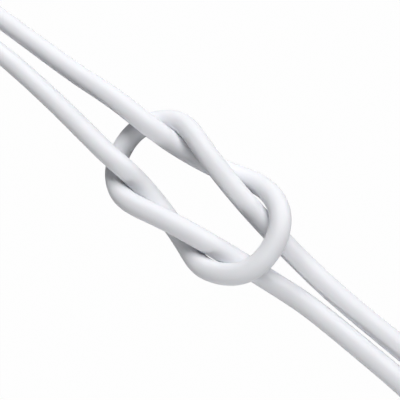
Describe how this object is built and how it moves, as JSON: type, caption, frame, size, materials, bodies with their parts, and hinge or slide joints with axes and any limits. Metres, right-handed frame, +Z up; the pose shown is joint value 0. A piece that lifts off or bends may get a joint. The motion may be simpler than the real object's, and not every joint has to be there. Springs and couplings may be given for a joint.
{
  "type": "charging_cable",
  "caption": "White USB-A to USB-C charging cable tied at its middle in a loose reef knot, both plugs free and the spare cord coiled and strapped.",
  "frame": {"origin": "on the table, in the middle of the coil of spare cord, midway between the two plugs that lie beside it", "axes": "+X runs from the USB-A plug to the USB-C plug, +Y from the coil to the knot, +Z up from the table; both plugs point along -Y"},
  "size_m": [0.1651, 0.124, 0.01],
  "materials": {
    "white_plastic": "smooth white moulded plastic with a soft shine",
    "white_jacket": "smooth white soft plastic jacket, satin",
    "plug_steel": "nickel-plated stamped steel",
    "contact_gold": "gold-plated contact faces",
    "black_plastic": "black moulded connector body",
    "inner_plastic": "cloudy filling plastic",
    "copper_braid": "tinned copper braid",
    "card_green": "green circuit card",
    "wire_red": "red wire insulation",
    "wire_white": "white wire insulation",
    "wire_green": "green wire insulation",
    "wire_black": "black wire insulation",
    "chip_black": "black chip resistor",
    "chip_tan": "tan chip capacitor",
    "strap_grey": "woven hook-and-loop strap"
  },
  "bodies": {
    "root": {"a_shell": "plug_steel", "a_insulator": "white_plastic", "a_contacts": "contact_gold", "a_shield_upper": "plug_steel", "a_shield_lower": "plug_steel", "a_inner_mould": "inner_plastic", "a_wire_red": "wire_red", "a_wire_white": "wire_white", "a_wire_green": "wire_green", "a_wire_black": "wire_black", "a_cord_end": "white_jacket", "a_braid": "copper_braid", "a_strain_relief": "white_jacket", "a_housing": "white_plastic", "c_shell": "plug_steel", "c_insulator": "black_plastic", "c_contacts_upper": "contact_gold", "c_contacts_lower": "contact_gold", "c_latch": "plug_steel", "c_emi_springs": "plug_steel", "c_paddle_card": "card_green", "c_resistor": "chip_black", "c_capacitor": "chip_tan", "c_inner_mould": "inner_plastic", "c_shield_upper": "plug_steel", "c_shield_lower": "plug_steel", "c_wire_red": "wire_red", "c_wire_white": "wire_white", "c_wire_green": "wire_green", "c_wire_black": "wire_black", "c_cord_end": "white_jacket", "c_braid": "copper_braid", "c_strain_relief": "white_jacket", "c_housing": "white_plastic", "cord_a": "white_jacket", "cord_c": "white_jacket", "cord_coil": "white_jacket", "coil_strap": "strap_grey"}
  },
  "joints": []
}
